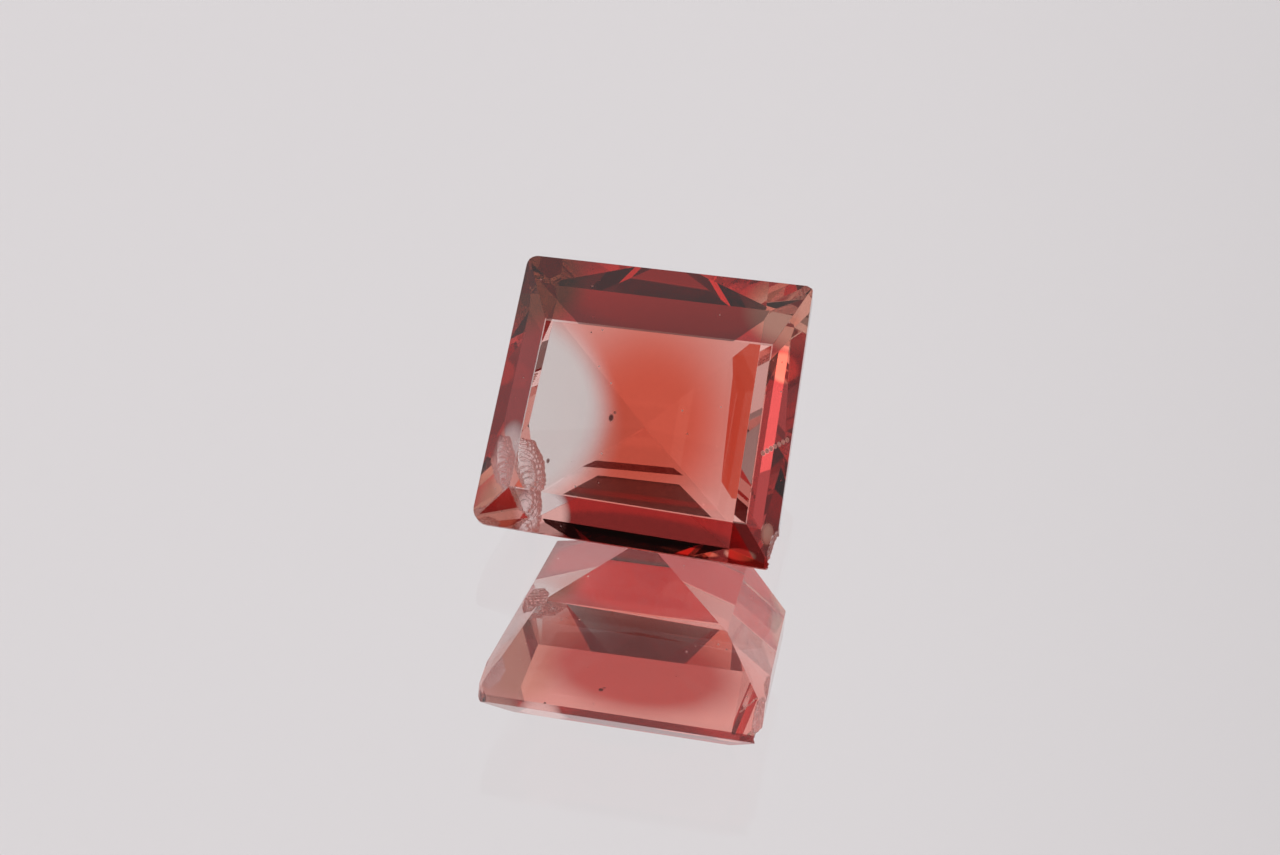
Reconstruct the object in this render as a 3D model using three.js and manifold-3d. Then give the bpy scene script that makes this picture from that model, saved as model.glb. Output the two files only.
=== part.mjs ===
// A square step-cut sunstone, lying on one of its lower facets.
// One solid: table, crown, girdle and a two-step pavilion, with worn corners and four chips.
// Millimetres and degrees, +Z up. The stone is cut upright, table up, about the axis through the
// middle of its girdle, and is laid on its front base facet at the end.
// Azimuth 0 is the right-hand side (+X), 90 the back (+Y), 180 the left and -90 the front.
import * as THREE from "three";
import { mergeVertices } from "three/addons/utils/BufferGeometryUtils.js";
import Module from "manifold-3d";

const wasm = await Module();
wasm.setup();

const tableHeight = 0.58;
const girdleTop = 0.065;
const culet = new THREE.Vector3(-0.105, -0.036, -3.107);

// Each side has its girdle face, a crown facet, a steep main facet and a shallow base facet.
// Angles are measured from the plane of the girdle, and girdleLow is the height of the girdle face's lower
// edge, because the girdle is left thick on the right and on the left.
const sides = [
  { azimuth: -90.7, reach: 2.97, crown: 33, girdleLow: -0.065, main: 62.4, base: 29.1, baseAzimuth: -89.5 },
  { azimuth: 0.5, reach: 3.12, crown: 38, girdleLow: -0.62, main: 53.4, base: 27.1, baseAzimuth: 1.4 },
  { azimuth: 91.6, reach: 3.0, crown: 19, girdleLow: -0.065, main: 70, base: 29, baseAzimuth: 93 },
  { azimuth: 177.4, reach: 3.09, crown: 35.5, girdleLow: -0.43, main: 66, base: 27.9, baseAzimuth: 180 },
];
const [front, right, back, left] = sides;

// Worn corners of the girdle, each rounded over between two sides.
const corners = [
  { between: [left, front], radius: 0.35 },
  { between: [front, right], radius: 0.2 },
  { between: [right, back], radius: 0.12 },
  { between: [back, left], radius: 0.25 },
];
const cornerCuts = 5;
// The back right corner is also broken off at a slant.
const brokenCorner = { azimuth: 66, reach: 4.02 };
// Under the front left corner the pavilion is ground away by one flat slanted facet.
const slant = { azimuth: 190.2, lean: 123.4, through: new THREE.Vector3(-2.083, -1.936, -2.059) };

// Shell-shaped chips, each a lump cut away at a place on the surface: a long scar low on the left main
// facet, a smaller one on the ridge under the front left corner, a nick in the right girdle up to the
// front corner, and a bruise behind it along the girdle's lower edge.
const chips = [
  {
    at: new THREE.Vector3(-2.22, -1.42, -1.79),
    outward: new THREE.Vector3(-0.8, 0, -0.6),
    along: new THREE.Vector3(0.32, -0.85, -0.42),
    length: 0.66,
    width: 0.36,
    depth: 0.3,
    sink: 0.16,
  },
  {
    at: new THREE.Vector3(-2.84, -2.7, -0.57),
    outward: new THREE.Vector3(-0.42, -0.78, -0.46),
    along: new THREE.Vector3(0.42, 0.37, -0.83),
    length: 0.44,
    width: 0.27,
    depth: 0.22,
    sink: 0.12,
  },
  {
    at: new THREE.Vector3(3.12, -2.6, -0.32),
    outward: new THREE.Vector3(0.985, -0.05, 0.05),
    along: new THREE.Vector3(0, 1, 0),
    length: 0.52,
    width: 0.72,
    depth: 0.24,
    sink: 0.17,
  },
  {
    at: new THREE.Vector3(3.12, -1.5, -0.5),
    outward: new THREE.Vector3(0.86, 0, -0.51),
    along: new THREE.Vector3(0, 1, 0),
    length: 0.6,
    width: 0.26,
    depth: 0.2,
    sink: 0.09,
  },
];
const chipDetail = 7;
const chipRipple = 0.035;

const roughSize = 9;
const toolSize = 14;

const radians = THREE.MathUtils.degToRad;

// A closed mesh as a solid that can be joined and cut.
function solidFrom(geometry) {
  const bare = geometry.clone();
  bare.deleteAttribute("normal");
  bare.deleteAttribute("uv");
  const merged = mergeVertices(bare, 1e-5);
  return new wasm.Manifold(new wasm.Mesh({
    numProp: 3,
    vertProperties: new Float32Array(merged.attributes.position.array),
    triVerts: new Uint32Array(merged.index.array),
  }));
}

function geometryFrom(solid) {
  const mesh = solid.getMesh();
  const geometry = new THREE.BufferGeometry();
  geometry.setAttribute("position", new THREE.BufferAttribute(mesh.vertProperties, 3));
  geometry.setIndex(new THREE.BufferAttribute(mesh.triVerts, 1));
  const faceted = geometry.toNonIndexed();
  faceted.computeVertexNormals();
  return faceted;
}

// The outward normal of a facet that faces an azimuth and leans from straight up by the given angle.
function facing(azimuth, lean) {
  const a = radians(azimuth);
  const l = radians(lean);
  return new THREE.Vector3(Math.sin(l) * Math.cos(a), Math.sin(l) * Math.sin(a), Math.cos(l));
}

// Grinds away all that lies beyond the plane through a point.
function grind(solid, normal, point) {
  const block = new THREE.BoxGeometry(toolSize, toolSize, toolSize);
  block.translate(0, 0, toolSize / 2);
  block.applyQuaternion(new THREE.Quaternion().setFromUnitVectors(new THREE.Vector3(0, 0, 1), normal));
  block.translate(point.x, point.y, point.z);
  return solid.subtract(solidFrom(block));
}

// The point of a side's girdle face nearest the axis, at height z.
function girdlePoint(side, z) {
  return facing(side.azimuth, 90).multiplyScalar(side.reach).setZ(z);
}

function cutSides(solid) {
  let cut = solid;
  for (const side of sides) {
    cut = grind(cut, facing(side.azimuth, 90), girdlePoint(side, 0));
    cut = grind(cut, facing(side.azimuth, side.crown), girdlePoint(side, girdleTop));
    cut = grind(cut, facing(side.azimuth, 180 - side.main), girdlePoint(side, side.girdleLow));
    cut = grind(cut, facing(side.baseAzimuth, 180 - side.base), culet);
  }
  return cut;
}

// Where two sides of the girdle meet, seen from above.
function cornerPoint(a, b) {
  const na = facing(a.azimuth, 90);
  const nb = facing(b.azimuth, 90);
  const det = na.x * nb.y - na.y * nb.x;
  return new THREE.Vector3(
    (a.reach * nb.y - b.reach * na.y) / det,
    (na.x * b.reach - nb.x * a.reach) / det,
    0,
  );
}

function roundCorner(solid, { between: [a, b], radius }) {
  const na = facing(a.azimuth, 90);
  const nb = facing(b.azimuth, 90);
  const inset = na.clone().add(nb).multiplyScalar(radius / (1 + na.dot(nb)));
  const centre = cornerPoint(a, b).sub(inset);
  let cut = solid;
  for (let i = 1; i <= cornerCuts; i += 1) {
    const normal = na.clone().lerp(nb, i / (cornerCuts + 1)).normalize();
    cut = grind(cut, normal, centre.clone().addScaledVector(normal, radius));
  }
  return cut;
}

// A rippled lump that leaves a shell-shaped hollow where it is cut away. Its middle stands off the surface.
function chipSolid({ at, outward, along, length, width, depth, sink }) {
  const lump = mergeVertices(new THREE.IcosahedronGeometry(1, chipDetail).deleteAttribute("normal")
    .deleteAttribute("uv"), 1e-5);
  const position = lump.attributes.position;
  const p = new THREE.Vector3();
  for (let i = 0; i < position.count; i += 1) {
    p.fromBufferAttribute(position, i);
    const rings = Math.sin(9 * p.y + 4 * p.x) + 0.6 * Math.sin(7 * p.z - 5 * p.y + 1.3);
    p.multiplyScalar(1 + chipRipple * rings);
    position.setXYZ(i, p.x, p.y, p.z);
  }
  const up = outward.clone().normalize();
  const side = new THREE.Vector3().crossVectors(along, up).normalize();
  const ahead = new THREE.Vector3().crossVectors(up, side);
  lump.scale(width, length, depth);
  lump.applyMatrix4(new THREE.Matrix4().makeBasis(side, ahead, up));
  const centre = at.clone().addScaledVector(up, depth - sink);
  lump.translate(centre.x, centre.y, centre.z);
  return solidFrom(lump);
}

function cutStone() {
  let stone = solidFrom(new THREE.BoxGeometry(roughSize, roughSize, roughSize));
  stone = grind(stone, new THREE.Vector3(0, 0, 1), new THREE.Vector3(0, 0, tableHeight));
  stone = cutSides(stone);
  for (const corner of corners) {
    stone = roundCorner(stone, corner);
  }
  stone = grind(stone, facing(brokenCorner.azimuth, 90), facing(brokenCorner.azimuth, 90)
    .multiplyScalar(brokenCorner.reach));
  stone = grind(stone, facing(slant.azimuth, slant.lean), slant.through);
  for (const chip of chips) {
    stone = stone.subtract(chipSolid(chip));
  }
  return geometryFrom(stone);
}

const copperRed = new THREE.MeshStandardMaterial({
  name: "copper red feldspar",
  color: 0xb4513f,
  roughness: 0.05,
  metalness: 0,
  flatShading: true,
});

const sunstone = new THREE.Mesh(cutStone(), copperRed);
sunstone.name = "sunstone";

// Laid down on the front base facet, with the origin under the middle of the stone.
const lying = new THREE.Group();
lying.quaternion.setFromUnitVectors(facing(front.baseAzimuth, 180 - front.base), new THREE.Vector3(0, 0, -1));
lying.add(sunstone);

const part = new THREE.Group();
part.add(lying);
part.updateMatrixWorld(true);
const box = new THREE.Box3().setFromObject(part, true);
const middle = box.getCenter(new THREE.Vector3());
lying.position.set(-middle.x, -middle.y, -box.min.z);
part.updateMatrixWorld(true);

export default part;
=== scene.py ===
"""A square step-cut sunstone, lying on one of its lower facets on a pale mirror.

The stone is one clear copper-red feldspar, colourless along its left side, with worn corners, a long
scar at its front left and a nick in its right girdle. It is cut here from a rough cube, facet by facet,
in the same order and at the same angles as the solid part.
"""

import logging
import math
from dataclasses import dataclass, field
from enum import Enum

import bpy
from mathutils import Matrix, Vector

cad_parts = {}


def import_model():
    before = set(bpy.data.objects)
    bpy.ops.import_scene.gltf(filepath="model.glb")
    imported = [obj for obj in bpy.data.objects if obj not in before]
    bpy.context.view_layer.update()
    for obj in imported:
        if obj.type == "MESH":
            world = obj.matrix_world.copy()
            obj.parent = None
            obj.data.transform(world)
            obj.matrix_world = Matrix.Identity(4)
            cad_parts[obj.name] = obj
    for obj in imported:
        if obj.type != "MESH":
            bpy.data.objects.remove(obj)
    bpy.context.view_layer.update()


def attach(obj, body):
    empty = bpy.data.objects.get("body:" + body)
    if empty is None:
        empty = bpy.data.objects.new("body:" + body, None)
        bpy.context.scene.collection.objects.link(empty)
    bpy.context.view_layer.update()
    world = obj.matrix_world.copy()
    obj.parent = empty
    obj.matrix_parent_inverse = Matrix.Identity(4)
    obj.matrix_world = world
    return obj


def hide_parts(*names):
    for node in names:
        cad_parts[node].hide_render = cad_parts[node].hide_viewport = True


LOG = logging.getLogger("sunstone")
MM = 0.001
UP = (0.0, 0.0, 1.0)
WIDE = 1000.0

Triple = tuple[float, float, float]
Value = bpy.types.NodeSocket | float | Triple


class Side(Enum):
    """The four sides of the stone, as seen from above with the table up."""

    FRONT = "front"
    RIGHT = "right"
    BACK = "back"
    LEFT = "left"


@dataclass(frozen=True)
class SideCut:
    """One side's facets. Angles are in degrees from the plane of the girdle, lengths in millimetres."""

    azimuth: float
    reach: float
    crown: float
    girdle_low: float
    main: float
    base: float
    base_azimuth: float


@dataclass(frozen=True)
class Chip:
    """A shell-shaped hollow, cut by a rippled lump whose middle stands off the surface, in millimetres."""

    at: Triple
    outward: Triple
    along: Triple
    length: float
    width: float
    depth: float
    sink: float


def deselect() -> None:
    """Leaves object mode with nothing selected."""
    if bpy.context.object and bpy.context.object.mode != "OBJECT":
        bpy.ops.object.mode_set(mode="OBJECT")
    bpy.ops.object.select_all(action="DESELECT")


def facing(azimuth: float, lean: float) -> Vector:
    """The outward normal of a facet.

    Args:
        azimuth: The direction that the facet faces, in degrees from the right-hand side.
        lean: The angle of its normal from straight up, in degrees.

    Returns:
        A unit vector.
    """
    a = math.radians(azimuth)
    tilt = math.radians(lean)
    return Vector((math.sin(tilt) * math.cos(a), math.sin(tilt) * math.sin(a), math.cos(tilt)))


def seen_from(bearing: float, height: float) -> Vector:
    """The direction from the stone to something round it.

    Args:
        bearing: Its bearing from the front towards the right, in degrees.
        height: Its height above the horizon, in degrees.

    Returns:
        A unit vector.
    """
    a = math.radians(bearing)
    h = math.radians(height)
    return Vector((math.sin(a) * math.cos(h), -math.cos(a) * math.cos(h), math.sin(h)))


class Wiring:
    """Adds nodes to a node tree and links them."""

    def __init__(self, tree: bpy.types.NodeTree) -> None:
        """Takes the tree to add to."""
        self.nodes = tree.nodes
        self.links = tree.links

    def feed(self, socket: bpy.types.NodeSocket, value: Value) -> None:
        """Links a socket to another socket, or sets it to a plain value.

        Args:
            socket: The socket to feed.
            value: A socket, a number, or a vector or colour.
        """
        if isinstance(value, bpy.types.NodeSocket):
            self.links.new(value, socket)
        elif socket.type == "RGBA":
            socket.default_value = (*value, 1)
        else:
            socket.default_value = value

    def math(self, operation: str, first: Value, second: Value = 0.0) -> bpy.types.NodeSocket:
        """Adds a Math node and returns its result."""
        node = self.nodes.new("ShaderNodeMath")
        node.operation = operation
        self.feed(node.inputs[0], first)
        self.feed(node.inputs[1], second)
        return node.outputs[0]

    def vector_math(self, operation: str, first: Value, second: Value) -> bpy.types.Node:
        """Adds a Vector Math node and returns it."""
        node = self.nodes.new("ShaderNodeVectorMath")
        node.operation = operation
        self.feed(node.inputs[0], first)
        self.feed(node.inputs[1], second)
        return node

    def along(self, way: bpy.types.NodeSocket, axis: Triple) -> bpy.types.NodeSocket:
        """How far a direction or a place lies along an axis."""
        return self.vector_math("DOT_PRODUCT", way, axis).outputs["Value"]

    def step(self, value: Value, start: Value, end: Value, low: float, high: float) -> bpy.types.NodeSocket:
        """A soft step of a value, from low at the start to high at the end."""
        node = self.nodes.new("ShaderNodeMapRange")
        node.interpolation_type = "SMOOTHSTEP"
        self.feed(node.inputs["Value"], value)
        self.feed(node.inputs["From Min"], start)
        self.feed(node.inputs["From Max"], end)
        self.feed(node.inputs["To Min"], low)
        self.feed(node.inputs["To Max"], high)
        return node.outputs["Result"]

    def blend(self, share: Value, first: Value, second: Value) -> bpy.types.NodeSocket:
        """Goes straight from the first number to the second as a share goes from 0 to 1."""
        node = self.nodes.new("ShaderNodeMapRange")
        self.feed(node.inputs["Value"], share)
        self.feed(node.inputs["To Min"], first)
        self.feed(node.inputs["To Max"], second)
        return node.outputs["Result"]

    def mix(self, share: Value, under: Value, over: Value) -> bpy.types.NodeSocket:
        """Lays one colour over another by a share."""
        node = self.nodes.new("ShaderNodeMix")
        node.data_type = "RGBA"
        self.feed(node.inputs["Factor"], share)
        self.feed(node.inputs["A"], under)
        self.feed(node.inputs["B"], over)
        return node.outputs["Result"]

    def upright_place(self, lie: Matrix) -> bpy.types.NodeSocket:
        """The point of the stone in millimetres as it stands upright, table up.

        Args:
            lie: The matrix that lays the upright stone down, in millimetres.

        Returns:
            The socket that puts the point out.
        """
        stand = lie.inverted()
        place = self.nodes.new("ShaderNodeTexCoord")
        turn = self.nodes.new("ShaderNodeMapping")
        turn.vector_type = "POINT"
        turn.inputs["Scale"].default_value = (1 / MM, 1 / MM, 1 / MM)
        turn.inputs["Rotation"].default_value = stand.to_euler("XYZ")
        turn.inputs["Location"].default_value = stand.to_translation()
        self.links.new(place.outputs["Object"], turn.inputs["Vector"])
        return turn.outputs["Vector"]


def spot_group() -> bpy.types.NodeTree:
    """The node group of a soft-edged spot: 1 inside a stretched ball, 0 outside it."""
    if "soft_spot" in bpy.data.node_groups:
        return bpy.data.node_groups["soft_spot"]
    group = bpy.data.node_groups.new("soft_spot", "ShaderNodeTree")
    for name, kind in (("Point", "Vector"), ("Middle", "Vector"), ("Reach", "Vector"), ("Softness", "Float")):
        group.interface.new_socket(name, in_out="INPUT", socket_type=f"NodeSocket{kind}")
    group.interface.new_socket("Mask", in_out="OUTPUT", socket_type="NodeSocketFloat")
    wiring = Wiring(group)
    given = wiring.nodes.new("NodeGroupInput").outputs
    result = wiring.nodes.new("NodeGroupOutput")
    away = wiring.vector_math("SUBTRACT", given["Point"], given["Middle"]).outputs["Vector"]
    share = wiring.vector_math("DIVIDE", away, given["Reach"]).outputs["Vector"]
    distance = wiring.nodes.new("ShaderNodeVectorMath")
    distance.operation = "LENGTH"
    wiring.feed(distance.inputs[0], share)
    inner = wiring.math("SUBTRACT", 1.0, given["Softness"])
    outer = wiring.math("ADD", 1.0, given["Softness"])
    mask = wiring.step(distance.outputs["Value"], inner, outer, 1.0, 0.0)
    wiring.feed(result.inputs["Mask"], mask)
    return group


@dataclass(frozen=True)
class Spot:
    """A soft-edged zone, mark or painted highlight of one tint, a stretched ball in the upright stone, in
    millimetres.
    """

    middle: Triple
    reach: Triple
    softness: float
    tint: Triple


@dataclass(frozen=True)
class Feldspar:
    """The clear mineral itself, which every finish of the stone shares."""

    ior: float = 1.56
    absorbed: Triple = (0.9, 0.5, 0.45)
    density: float = 70.0

    def material(self, name: str) -> bpy.types.Material:
        """Builds a clear material with plain absorption.

        Args:
            name: Its name.

        Returns:
            The new material.
        """
        made = bpy.data.materials.new(name)
        made.use_nodes = True
        nodes = made.node_tree.nodes
        shader = nodes["Principled BSDF"]
        shader.inputs["IOR"].default_value = self.ior
        shader.inputs["Transmission Weight"].default_value = 1.0
        inside = nodes.new("ShaderNodeVolumeAbsorption")
        inside.inputs["Color"].default_value = (*self.absorbed, 1)
        inside.inputs["Density"].default_value = self.density
        made.node_tree.links.new(inside.outputs["Volume"], nodes["Material Output"].inputs["Volume"])
        return made


@dataclass(frozen=True)
class PolishedFinish:
    """The facets: copper-red zones in clear feldspar, with an inclusion, specks, a scratch and dust, and painted
    highlights on the crown.
    """

    name: str = "copper_feldspar"
    mineral: Feldspar = Feldspar()
    ground: Triple = (0.98, 0.46, 0.4)
    zones: tuple[Spot, ...] = (
        Spot((0.0, -0.2, 0.0), (1.65, 2.0, WIDE), 0.5, (0.88, 0.16, 0.1)),
        Spot((-3.6, -0.45, 0.0), (2.75, 2.35, WIDE), 0.14, (1.0, 1.0, 0.98)),
        Spot((-2.4, -2.6, -1.0), (1.0, 0.7, 1.0), 0.3, (0.7, 0.3, 0.2)),
        Spot((0.3, -2.6, -1.1), (2.3, 0.75, 1.0), 0.3, (0.4, 0.025, 0.02)),
    )
    crown: Triple = (0.24, 0.004, 0.004)
    crown_low: float = -0.1
    crown_high: float = 0.565
    crown_zones_and_painted_highlights: tuple[Spot, ...] = (
        Spot((0.2, 2.3, 0.3), (2.1, 0.95, 0.6), 0.2, (0.52, 0.004, 0.003)),
        Spot((-2.6, 2.3, 0.2), (0.9, 1.0, 1.0), 0.35, (0.06, 0.008, 0.002)),
        Spot((2.7, 2.4, 0.2), (0.8, 0.7, 1.0), 0.35, (0.5, 0.2, 0.12)),
        # Painted highlight: a bright red-orange glint on the right crown.
        Spot((2.75, 1.2, 0.35), (0.35, 0.3, 0.4), 0.2, (1.0, 0.08, 0.04)),
        Spot((0.4, -2.75, 0.25), (2.1, 0.45, 0.6), 0.15, (0.08, 0.003, 0.003)),
        # Painted highlights: a bright strip along the front crown, an orange patch near its right corner and a pale
        # orange patch on the left crown, towards its front.
        Spot((1.4, -2.88, 0.13), (0.55, 0.08, 0.1), 0.15, (1.0, 0.12, 0.06)),
        Spot((2.44, -2.81, 0.19), (0.3, 0.12, 0.15), 0.2, (1.0, 0.3, 0.2)),
        Spot((-2.95, -1.98, 0.23), (0.25, 0.4, 0.3), 0.3, (1.0, 0.5, 0.4)),
        Spot((-2.75, -2.5, 0.3), (0.6, 0.6, 0.6), 0.3, (0.5, 0.28, 0.22)),
        Spot((-1.75, -2.6, 0.3), (0.5, 0.6, 0.6), 0.25, (0.95, 0.88, 0.88)),
        Spot((-2.6, -1.6, 0.42), (0.35, 0.7, 0.4), 0.3, (0.95, 0.8, 0.8)),
    )
    marks: tuple[Spot, ...] = (
        Spot((-0.62, -0.42, 0.58), (0.05, 0.075, 0.1), 0.35, (0.05, 0.01, 0.01)),
        Spot((-0.56, -0.3, 0.58), (0.03, 0.03, 0.1), 0.5, (0.25, 0.05, 0.04)),
        Spot((-1.77, -1.51, 0.58), (0.03, 0.05, 0.1), 0.5, (0.2, 0.1, 0.08)),
        Spot((2.93, -2.3, 0.2), (0.12, 0.2, 0.2), 0.4, (1.0, 0.8, 0.6)),
    )
    scratch_from: Triple = (2.6, -0.68, 0.47)
    scratch_to: Triple = (3.04, -0.26, 0.13)
    scratch_steps: int = 7
    scratch_reach: float = 0.045
    scratch_softness: float = 0.4
    scratch_tint: Triple = (1.0, 0.55, 0.45)
    dust_scale: float = 2.6
    dust_radius: float = 0.055
    dust_share: float = 0.35
    dust_tint: Triple = (1.0, 0.85, 0.8)

    def material(self, lie: Matrix) -> bpy.types.Material:
        """Builds the material.

        Args:
            lie: The matrix that lays the upright stone down, in millimetres.

        Returns:
            The new material.
        """
        made = self.mineral.material(self.name)
        wiring = Wiring(made.node_tree)
        shader = wiring.nodes["Principled BSDF"]
        point = wiring.upright_place(lie)
        body = self.overlay(wiring, point, self.ground, self.zones)
        # The crown's colour, with painted highlights among its spots.
        top = self.overlay(wiring, point, self.crown, self.crown_zones_and_painted_highlights)
        colour = wiring.mix(self.crown_mask(wiring, point), body, top)
        marks = self.marks + self.scratch()
        marked = self.overlay(wiring, point, colour, marks)
        dust = self.dust(wiring, point)
        wiring.feed(shader.inputs["Base Color"], wiring.mix(dust, marked, self.dust_tint))
        roughness = dust
        for mark in marks:
            roughness = wiring.math("MAXIMUM", roughness, self.mask(wiring, point, mark))
        wiring.feed(shader.inputs["Roughness"], roughness)
        return made

    def mask(self, wiring: Wiring, point: bpy.types.NodeSocket, spot: Spot) -> bpy.types.NodeSocket:
        """Adds one soft spot and returns its mask."""
        node = wiring.nodes.new("ShaderNodeGroup")
        node.node_tree = spot_group()
        wiring.feed(node.inputs["Point"], point)
        wiring.feed(node.inputs["Middle"], spot.middle)
        wiring.feed(node.inputs["Reach"], spot.reach)
        wiring.feed(node.inputs["Softness"], spot.softness)
        return node.outputs["Mask"]

    def overlay(self, wiring: Wiring, point: bpy.types.NodeSocket, under: Value,
                spots: tuple[Spot, ...]) -> Value:
        """Lays spots of colour over a ground, the later ones on top.

        Args:
            wiring: The material's wiring.
            point: The point in the upright stone.
            under: The colour under the spots.
            spots: The spots.

        Returns:
            The colour.
        """
        colour = under
        for spot in spots:
            colour = wiring.mix(self.mask(wiring, point, spot), colour, spot.tint)
        return colour

    def crown_mask(self, wiring: Wiring, point: bpy.types.NodeSocket) -> bpy.types.NodeSocket:
        """The mask of the crown facets: above the girdle and below the table."""
        height = wiring.along(point, UP)
        above = wiring.math("GREATER_THAN", height, self.crown_low)
        below = wiring.math("LESS_THAN", height, self.crown_high)
        return wiring.math("MULTIPLY", above, below)

    def scratch(self) -> tuple[Spot, ...]:
        """The scratch across the right crown facet, as a row of small marks."""
        start = Vector(self.scratch_from)
        end = Vector(self.scratch_to)
        places = (start.lerp(end, i / (self.scratch_steps - 1)) for i in range(self.scratch_steps))
        reach = (self.scratch_reach,) * 3
        return tuple(Spot(tuple(place), reach, self.scratch_softness, self.scratch_tint) for place in places)

    def dust(self, wiring: Wiring, point: bpy.types.NodeSocket) -> bpy.types.NodeSocket:
        """The mask of the dust: tiny specks, in some of the cells of a random pattern."""
        cells = wiring.nodes.new("ShaderNodeTexVoronoi")
        cells.inputs["Scale"].default_value = self.dust_scale
        wiring.feed(cells.inputs["Vector"], point)
        near = wiring.math("LESS_THAN", cells.outputs["Distance"], self.dust_radius)
        chance = wiring.nodes.new("ShaderNodeSeparateColor")
        wiring.feed(chance.inputs[0], cells.outputs["Color"])
        chosen = wiring.math("LESS_THAN", chance.outputs[0], self.dust_share)
        return wiring.math("MULTIPLY", near, chosen)


@dataclass(frozen=True)
class BrokenFinish:
    """The chips: clear and uneven, with fine shell-like ripples."""

    name: str = "broken_feldspar"
    mineral: Feldspar = Feldspar()
    tint: Triple = (0.95, 0.94, 0.95)
    roughness: float = 0.06
    ripple_scale: float = 14.0
    ripple_detail: float = 4.0
    ripple_bend: float = 1.2
    ripple_height: float = 0.03

    def material(self, lie: Matrix) -> bpy.types.Material:
        """Builds the material.

        Args:
            lie: The matrix that lays the upright stone down, in millimetres.

        Returns:
            The new material.
        """
        made = self.mineral.material(self.name)
        wiring = Wiring(made.node_tree)
        shader = wiring.nodes["Principled BSDF"]
        shader.inputs["Base Color"].default_value = (*self.tint, 1)
        shader.inputs["Roughness"].default_value = self.roughness
        ripple = wiring.nodes.new("ShaderNodeTexNoise")
        ripple.inputs["Scale"].default_value = self.ripple_scale
        ripple.inputs["Detail"].default_value = self.ripple_detail
        ripple.inputs["Distortion"].default_value = self.ripple_bend
        wiring.feed(ripple.inputs["Vector"], wiring.upright_place(lie))
        bump = wiring.nodes.new("ShaderNodeBump")
        bump.inputs["Distance"].default_value = self.ripple_height * MM
        wiring.feed(bump.inputs["Height"], ripple.outputs["Fac"])
        wiring.feed(shader.inputs["Normal"], bump.outputs["Normal"])
        return made


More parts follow.
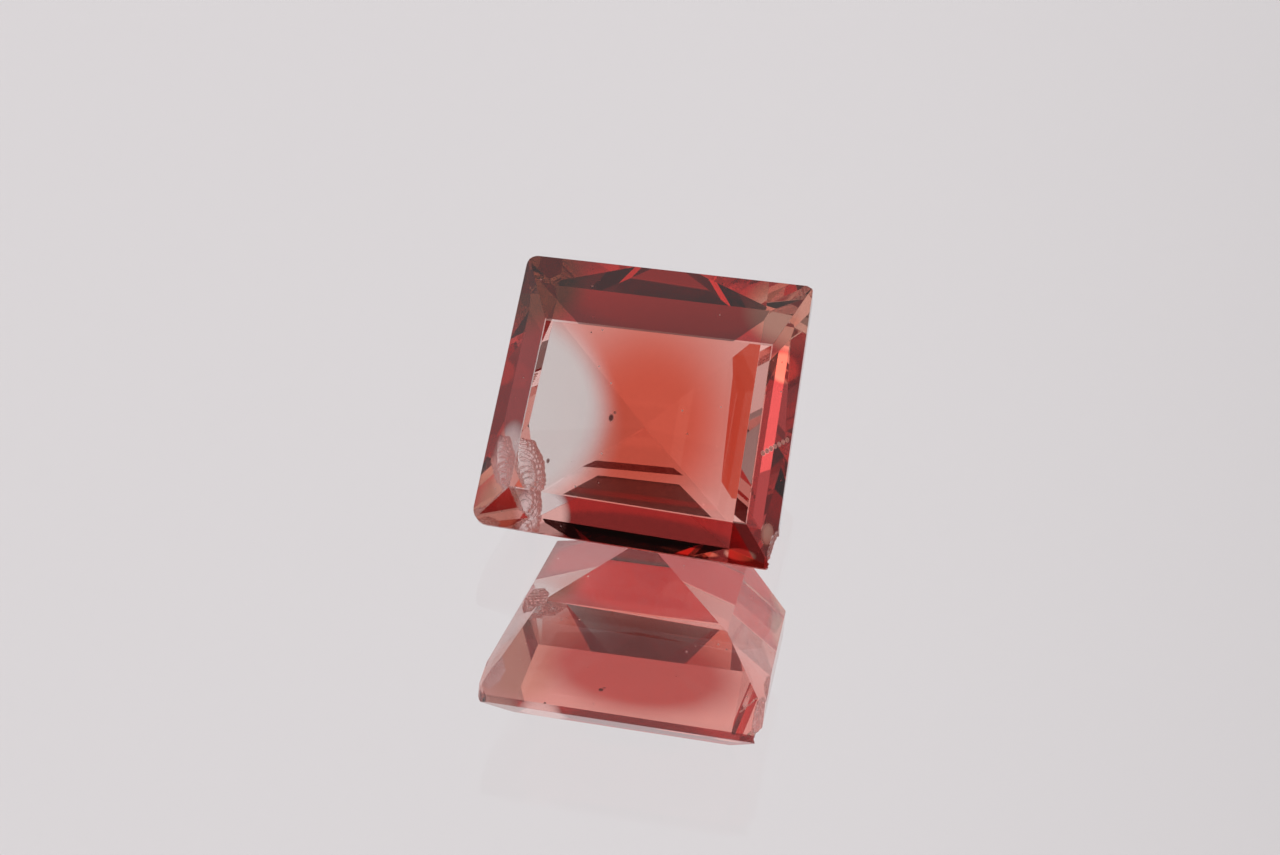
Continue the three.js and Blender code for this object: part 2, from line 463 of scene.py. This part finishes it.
@dataclass
class Sunstone:
    """The stone. Lengths are in millimetres, upright about the middle of the girdle, until it is laid down."""

    node: str = "sunstone"
    slot: str = "feldspar"
    rough_size: float = 9.0
    table_height: float = 0.58
    girdle_top: float = 0.065
    culet: Triple = (-0.105, -0.036, -3.107)
    sides: dict[Side, SideCut] = field(default_factory=lambda: {
        Side.FRONT: SideCut(-90.7, 2.97, 33.0, -0.065, 62.4, 29.1, -89.5),
        Side.RIGHT: SideCut(0.5, 3.12, 38.0, -0.62, 53.4, 27.1, 1.4),
        Side.BACK: SideCut(91.6, 3.0, 19.0, -0.065, 70.0, 29.0, 93.0),
        Side.LEFT: SideCut(177.4, 3.09, 35.5, -0.43, 66.0, 27.9, 180.0),
    })
    corners: tuple[tuple[Side, Side, float], ...] = (
        (Side.LEFT, Side.FRONT, 0.35),
        (Side.FRONT, Side.RIGHT, 0.2),
        (Side.RIGHT, Side.BACK, 0.12),
        (Side.BACK, Side.LEFT, 0.25),
    )
    corner_cuts: int = 5
    broken_azimuth: float = 66.0
    broken_reach: float = 4.02
    slant_azimuth: float = 190.2
    slant_lean: float = 123.4
    slant_at: Triple = (-2.083, -1.936, -2.059)
    chips: tuple[Chip, ...] = (
        Chip((-2.22, -1.42, -1.79), (-0.8, 0.0, -0.6), (0.32, -0.85, -0.42), 0.66, 0.36, 0.3, 0.16),
        Chip((-2.84, -2.7, -0.57), (-0.42, -0.78, -0.46), (0.42, 0.37, -0.83), 0.44, 0.27, 0.22, 0.12),
        Chip((3.12, -2.6, -0.32), (0.985, -0.05, 0.05), (0.0, 1.0, 0.0), 0.52, 0.72, 0.24, 0.17),
        Chip((3.12, -1.5, -0.5), (0.86, 0.0, -0.51), (0.0, 1.0, 0.0), 0.6, 0.26, 0.2, 0.09),
    )
    ring_height: float = 0.035
    ripple_height: float = 0.028
    lump_detail: int = 6
    wear: float = 0.02
    wear_segments: int = 2
    wear_from_angle: float = 6.0
    lay_shift: Triple = (0.03904, -0.17437, 2.73187)

    def build(self, polished: PolishedFinish, broken: BrokenFinish) -> bpy.types.Object:
        """Cuts the stone, dresses it, lays it down and hands it to the frame.

        Args:
            polished: The finish of the facets.
            broken: The finish of the chips.

        Returns:
            The stone's object.
        """
        stone = self.cut_facets()
        self.wear_edges(stone)
        stone.data.materials.clear()
        stone.data.materials.append(polished.material(self.lie()))
        chipped = broken.material(self.lie())
        for number, chip in enumerate(self.chips):
            self.cut_chip(stone, chip, number, chipped)
        self.lay_down(stone)
        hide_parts(self.node)
        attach(stone, "root")
        return stone

    def cut_facets(self) -> bpy.types.Object:
        """Cuts every flat facet and the rounded corners of the girdle from a cube.

        Returns:
            The cut stone, upright.
        """
        deselect()
        bpy.ops.mesh.primitive_cube_add(size=self.rough_size)
        stone = bpy.context.object
        stone.name = stone.data.name = "faceted_stone"
        bpy.ops.object.mode_set(mode="EDIT")
        self.grind(Vector(UP), Vector(UP) * self.table_height)
        for side in self.sides.values():
            edge = facing(side.azimuth, 90) * side.reach
            self.grind(facing(side.azimuth, 90), edge)
            self.grind(facing(side.azimuth, side.crown), edge + Vector(UP) * self.girdle_top)
            self.grind(facing(side.azimuth, 180 - side.main), edge + Vector(UP) * side.girdle_low)
            self.grind(facing(side.base_azimuth, 180 - side.base), Vector(self.culet))
        for first, second, radius in self.corners:
            self.round_corner(self.sides[first], self.sides[second], radius)
        self.grind(facing(self.broken_azimuth, 90), facing(self.broken_azimuth, 90) * self.broken_reach)
        self.grind(facing(self.slant_azimuth, self.slant_lean), Vector(self.slant_at))
        bpy.ops.object.mode_set(mode="OBJECT")
        return stone

    def grind(self, normal: Vector, point: Vector) -> None:
        """Takes away all of the mesh in edit mode that lies beyond a plane, and closes the cut.

        Args:
            normal: The outward normal of the plane.
            point: A point of the plane.
        """
        bpy.ops.mesh.select_all(action="SELECT")
        bpy.ops.mesh.bisect(
            plane_co=point, plane_no=normal, use_fill=True, clear_outer=True, clear_inner=False, threshold=1e-5)

    def round_corner(self, first: SideCut, second: SideCut, radius: float) -> None:
        """Rounds the girdle over between two sides.

        Args:
            first: One side.
            second: The next side.
            radius: The radius of the rounding.
        """
        a = facing(first.azimuth, 90)
        b = facing(second.azimuth, 90)
        det = a.x * b.y - a.y * b.x
        corner = Vector((
            (first.reach * b.y - second.reach * a.y) / det, (a.x * second.reach - b.x * first.reach) / det, 0))
        centre = corner - (a + b) * (radius / (1 + a.dot(b)))
        for i in range(1, self.corner_cuts + 1):
            normal = a.lerp(b, i / (self.corner_cuts + 1)).normalized()
            self.grind(normal, centre + normal * radius)

    def wear_edges(self, stone: bpy.types.Object) -> None:
        """Rounds every sharp edge a little, as wear does.

        Args:
            stone: The cut stone.
        """
        bevel = stone.modifiers.new("wear", "BEVEL")
        bevel.width = self.wear
        bevel.segments = self.wear_segments
        bevel.limit_method = "ANGLE"
        bevel.angle_limit = math.radians(self.wear_from_angle)
        bevel.use_clamp_overlap = True
        bpy.ops.object.modifier_apply(modifier=bevel.name)

    def cut_chip(self, stone: bpy.types.Object, chip: Chip, number: int, chipped: bpy.types.Material) -> None:
        """Breaks one chip out of the stone.

        Args:
            stone: The stone.
            chip: The chip's place and size.
            number: Its number, which shifts its ripples.
            chipped: The material of the broken surface.
        """
        deselect()
        bpy.ops.mesh.primitive_ico_sphere_add(subdivisions=self.lump_detail, radius=1)
        lump = bpy.context.object
        for vertex in lump.data.vertices:
            vertex.co = vertex.co * self.swelling(vertex.co, number)
        up = Vector(chip.outward).normalized()
        side = Vector(chip.along).cross(up).normalized()
        ahead = up.cross(side)
        basis = Matrix((side * chip.width, ahead * chip.length, up * chip.depth)).transposed().to_4x4()
        centre = Vector(chip.at) + up * (chip.depth - chip.sink)
        lump.data.transform(Matrix.Translation(centre) @ basis)
        lump.data.materials.append(chipped)
        cut = stone.modifiers.new("chip", "BOOLEAN")
        cut.operation = "DIFFERENCE"
        cut.solver = "EXACT"
        cut.material_mode = "TRANSFER"
        cut.object = lump
        deselect()
        bpy.context.view_layer.objects.active = stone
        stone.select_set(True)
        bpy.ops.object.modifier_apply(modifier=cut.name)
        bpy.data.objects.remove(lump)

    def swelling(self, p: Vector, number: int) -> float:
        """How far a chip's lump swells at a point of its unit ball: slow rings with fine ripples over them.

        Args:
            p: The point.
            number: The chip's number.

        Returns:
            The factor by which the point moves out.
        """
        rings = math.sin(9 * p.y + 4 * p.x) + 0.6 * math.sin(7 * p.z - 5 * p.y + 1.3)
        ripples = math.sin(31 * p.y + 4 * math.sin(6 * p.x) + number) + 0.8 * math.sin(27 * p.x + 21 * p.z)
        return 1 + self.ring_height * rings + self.ripple_height * ripples

    def lie(self) -> Matrix:
        """The matrix that lays the upright stone on its front base facet, in millimetres."""
        front = self.sides[Side.FRONT]
        down = facing(front.base_azimuth, 180 - front.base).rotation_difference(-Vector(UP))
        return Matrix.Translation(Vector(self.lay_shift)) @ down.to_matrix().to_4x4()

    def lay_down(self, stone: bpy.types.Object) -> None:
        """Lays the stone down and turns its millimetres into metres.

        Args:
            stone: The stone.
        """
        stone.data.transform(self.lie())
        stone.data.transform(Matrix.Scale(MM, 4))


@dataclass
class MirrorTable:
    """The pale surface under the stone: clear glass, silvered underneath. Lengths are in millimetres."""

    width: float = 800.0
    thickness: float = 2.97
    gap: float = 0.008
    glass_ior: float = 1.5
    glass_tint: Triple = (0.985, 0.985, 0.985)
    silver: Triple = (0.9, 0.89, 0.895)
    silvered_below: float = -0.5

    def build(self) -> bpy.types.Object:
        """Builds the slab.

        Returns:
            The slab.
        """
        deselect()
        bpy.ops.mesh.primitive_cube_add(
            size=1, location=(0, 0, -(self.thickness / 2 + self.gap) * MM),
            scale=(self.width * MM, self.width * MM, self.thickness * MM))
        slab = bpy.context.object
        slab.name = slab.data.name = "mirror_table"
        bpy.ops.object.transform_apply(location=True, rotation=True, scale=True)
        slab.data.materials.append(self.clear_glass())
        slab.data.materials.append(self.silvering())
        for face in slab.data.polygons:
            face.material_index = 1 if face.normal.z < self.silvered_below else 0
        return slab

    def clear_glass(self) -> bpy.types.Material:
        """The glass of the slab."""
        made = bpy.data.materials.new("table_glass")
        made.use_nodes = True
        shader = made.node_tree.nodes["Principled BSDF"]
        shader.inputs["Base Color"].default_value = (*self.glass_tint, 1)
        shader.inputs["Transmission Weight"].default_value = 1.0
        shader.inputs["Roughness"].default_value = 0.0
        shader.inputs["IOR"].default_value = self.glass_ior
        return made

    def silvering(self) -> bpy.types.Material:
        """The silver behind the glass."""
        made = bpy.data.materials.new("table_silver")
        made.use_nodes = True
        shader = made.node_tree.nodes["Principled BSDF"]
        shader.inputs["Base Color"].default_value = (*self.silver, 1)
        shader.inputs["Metallic"].default_value = 1.0
        shader.inputs["Roughness"].default_value = 0.0
        return made


@dataclass
class SoftRoom:
    """The plain soft light all round: paler low down, and dark in front, overhead and behind the camera.

    Heights are the upward part of a direction, from 0 at the horizon to 1 overhead.
    """

    pale: Triple = (0.86, 0.83, 0.84)
    strength: float = 0.92
    across: Triple = (0.99, 0.141, 0.0)
    towards: Triple = (0.141, -0.99, 0.0)
    dark: float = 0.04
    dark_middle: float = -0.1
    dark_half_width: float = 0.36
    dark_behind: float = -0.14
    dark_edge: float = 0.1
    haze: float = 0.33
    haze_low: float = 0.2
    haze_high: float = 0.68
    haze_edge: float = 0.05
    right_shade: float = 0.62
    right_end: float = 0.7
    low_glow: float = 1.12
    low_bottom: float = 0.5
    low_top: float = 0.6
    zenith_shade: float = 0.25
    zenith_bottom: float = 0.965
    zenith_top: float = 0.985

    def build(self) -> None:
        """Builds the world."""
        world = bpy.data.worlds.new("soft_room")
        bpy.context.scene.world = world
        world.use_nodes = True
        wiring = Wiring(world.node_tree)
        way = wiring.nodes.new("ShaderNodeTexCoord").outputs["Generated"]
        across = wiring.along(way, self.across)
        height = wiring.along(way, UP)
        in_front = self.in_front(wiring, across, wiring.along(way, self.towards))
        light = wiring.blend(in_front, self.strength, self.front_light(wiring, height))
        shade = wiring.step(across, 0.0, self.right_end, 1.0, self.right_shade)
        low = wiring.step(height, self.low_bottom, self.low_top, self.low_glow, 1.0)
        zenith = wiring.step(height, self.zenith_bottom, self.zenith_top, 1.0, self.zenith_shade)
        whole = wiring.math("MULTIPLY", wiring.math("MULTIPLY", light, shade), wiring.math("MULTIPLY", low, zenith))
        back = wiring.nodes["Background"]
        back.inputs["Color"].default_value = (*self.pale, 1)
        wiring.feed(back.inputs["Strength"], whole)

    def in_front(self, wiring: Wiring, across: bpy.types.NodeSocket,
                 towards: bpy.types.NodeSocket) -> bpy.types.NodeSocket:
        """The mask of the dark shape in front, a slab of directions that runs on overhead.

        Args:
            wiring: The world's wiring.
            across: How far a direction points to the right.
            towards: How far a direction points to the front.

        Returns:
            The mask.
        """
        aside = wiring.math("ABSOLUTE", wiring.math("SUBTRACT", across, self.dark_middle))
        sides = wiring.step(
            aside, self.dark_half_width - self.dark_edge, self.dark_half_width + self.dark_edge, 1.0, 0.0)
        front = wiring.step(
            towards, self.dark_behind - self.dark_edge, self.dark_behind + self.dark_edge, 0.0, 1.0)
        return wiring.math("MULTIPLY", sides, front)

    def front_light(self, wiring: Wiring, height: bpy.types.NodeSocket) -> bpy.types.NodeSocket:
        """The light in front: a dim haze at middle heights, dark below it and above it."""
        rise = wiring.step(
            height, self.haze_low - self.haze_edge, self.haze_low + self.haze_edge, self.dark, self.haze)
        fall = wiring.step(
            height, self.haze_high - self.haze_edge, self.haze_high + self.haze_edge, self.haze, self.dark)
        return wiring.math("MINIMUM", rise, fall)


@dataclass(frozen=True)
class Card:
    """A flat card behind the stone: its corners across and up, and how far back, in millimetres."""

    name: str
    back: float
    corners: tuple[tuple[float, float], ...]
    glow: Triple


@dataclass(frozen=True)
class Lamp:
    """A small square lamp: its bearing from the front to the right and its height, in degrees."""

    name: str
    bearing: float
    height: float
    distance: float
    half_size: float
    glow: float


@dataclass
class StudioCards:
    """The dark cards and the small lamp that the lower facets mirror. The camera doesn't see them."""

    cards: tuple[Card, ...] = (
        Card("wide_card", 49.86, ((-9.6, 22.0), (-6.69, 19.75), (-3.63, 19.78), (-1.4, 22.0)), (0.05, 0.0, 0.0)),
        Card("thin_card", 49.86, ((-7.3, 19.43), (-6.8, 19.1), (-3.9, 19.08), (-3.5, 19.37)), (0.12, 0.0, 0.0)),
        Card("side_card", 199.86, ((-126.0, 206.0), (-127.0, 212.6), (-132.2, 231.6), (-131.0, 234.6),
                                   (-122.0, 234.6), (-120.0, 206.0)), (0.6, 0.17, 0.11)),
    )
    lamp: Lamp = Lamp("left_lamp", 277.0, 32.0, 200.0, 5.0, 2.0)

    def build(self) -> list[bpy.types.Object]:
        """Builds the cards and the lamp.

        Returns:
            Their objects.
        """
        built = []
        for card in self.cards:
            places = [Vector((across, card.back, up)) for across, up in card.corners]
            built.append(self.build_card(card.name, places, card.glow))
        built.append(self.build_card(self.lamp.name, self.lamp_corners(), (self.lamp.glow,) * 3))
        return built

    def lamp_corners(self) -> list[Vector]:
        """The corners of the lamp, which faces the stone, in millimetres."""
        away = seen_from(self.lamp.bearing, self.lamp.height)
        across = away.cross(Vector(UP)).normalized()
        up = across.cross(away)
        middle = away * self.lamp.distance
        turns = ((-1, -1), (1, -1), (1, 1), (-1, 1))
        return [middle + (across * i + up * j) * self.lamp.half_size for i, j in turns]

    def build_card(self, name: str, places: list[Vector], glow: Triple) -> bpy.types.Object:
        """Builds one card.

        Args:
            name: Its name.
            places: Its corners, in millimetres.
            glow: The light that it sends out.

        Returns:
            Its object.
        """
        deselect()
        bpy.ops.mesh.primitive_circle_add(vertices=len(places), radius=MM, fill_type="NGON")
        made = bpy.context.object
        made.name = made.data.name = name
        for vertex, place in zip(made.data.vertices, places):
            vertex.co = place * MM
        material = bpy.data.materials.new(name)
        material.use_nodes = True
        shader = material.node_tree.nodes["Principled BSDF"]
        shader.inputs["Base Color"].default_value = (0.0, 0.0, 0.0, 1)
        shader.inputs["Specular IOR Level"].default_value = 0.0
        shader.inputs["Emission Color"].default_value = (*glow, 1)
        shader.inputs["Emission Strength"].default_value = 1.0
        made.data.materials.append(material)
        made.visible_camera = False
        made.visible_shadow = False
        made.visible_diffuse = False
        return made


@dataclass
class Lens:
    """The camera: where it looks, from where and how far, in millimetres and degrees."""

    aim: Triple = (-0.00797, -0.53955, 2.52888)
    bearing: float = 8.22884
    height: float = 49.08552
    roll: float = 1.83899
    distance: float = 71.187
    focal: float = 95.82
    sensor: float = 36.0
    clip_start: float = 1.0
    clip_end: float = 5000.0

    def build(self) -> bpy.types.Object:
        """Builds the camera and makes it the scene's.

        Returns:
            The camera.
        """
        data = bpy.data.cameras.new("camera")
        data.lens = self.focal
        data.sensor_width = self.sensor
        data.clip_start = self.clip_start * MM
        data.clip_end = self.clip_end * MM
        back = seen_from(self.bearing, self.height)
        level = Vector(UP).cross(back).normalized()
        upright = Matrix((level, back.cross(level), back)).transposed().to_4x4()
        rolled = upright @ Matrix.Rotation(math.radians(self.roll), 4, "Z")
        camera = bpy.data.objects.new("camera", data)
        camera.matrix_world = Matrix.Translation((Vector(self.aim) + back * self.distance) * MM) @ rolled
        bpy.context.scene.collection.objects.link(camera)
        bpy.context.scene.camera = camera
        return camera


@dataclass
class LightPaths:
    """How often light may pass through the stone, and how its colours are shown."""

    bounces: int = 32
    view_transform: str = "Standard"
    look: str = "None"

    def set(self) -> None:
        """Sets the scene's light paths and colours."""
        scene = bpy.context.scene
        scene.cycles.max_bounces = self.bounces
        scene.cycles.transmission_bounces = self.bounces
        scene.cycles.glossy_bounces = self.bounces
        scene.cycles.transparent_max_bounces = self.bounces
        scene.view_settings.view_transform = self.view_transform
        scene.view_settings.look = self.look


def main() -> None:
    """Builds the stone, the surface that it lies on, the light and the camera."""
    logging.basicConfig(level=logging.INFO, format="%(name)s: %(message)s")
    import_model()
    Lens().build()
    LightPaths().set()
    SoftRoom().build()
    MirrorTable().build()
    StudioCards().build()
    stone = Sunstone().build(PolishedFinish(), BrokenFinish())
    LOG.info("%s: %d faces", stone.name, len(stone.data.polygons))
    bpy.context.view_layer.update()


if __name__ == "__main__":
    main()
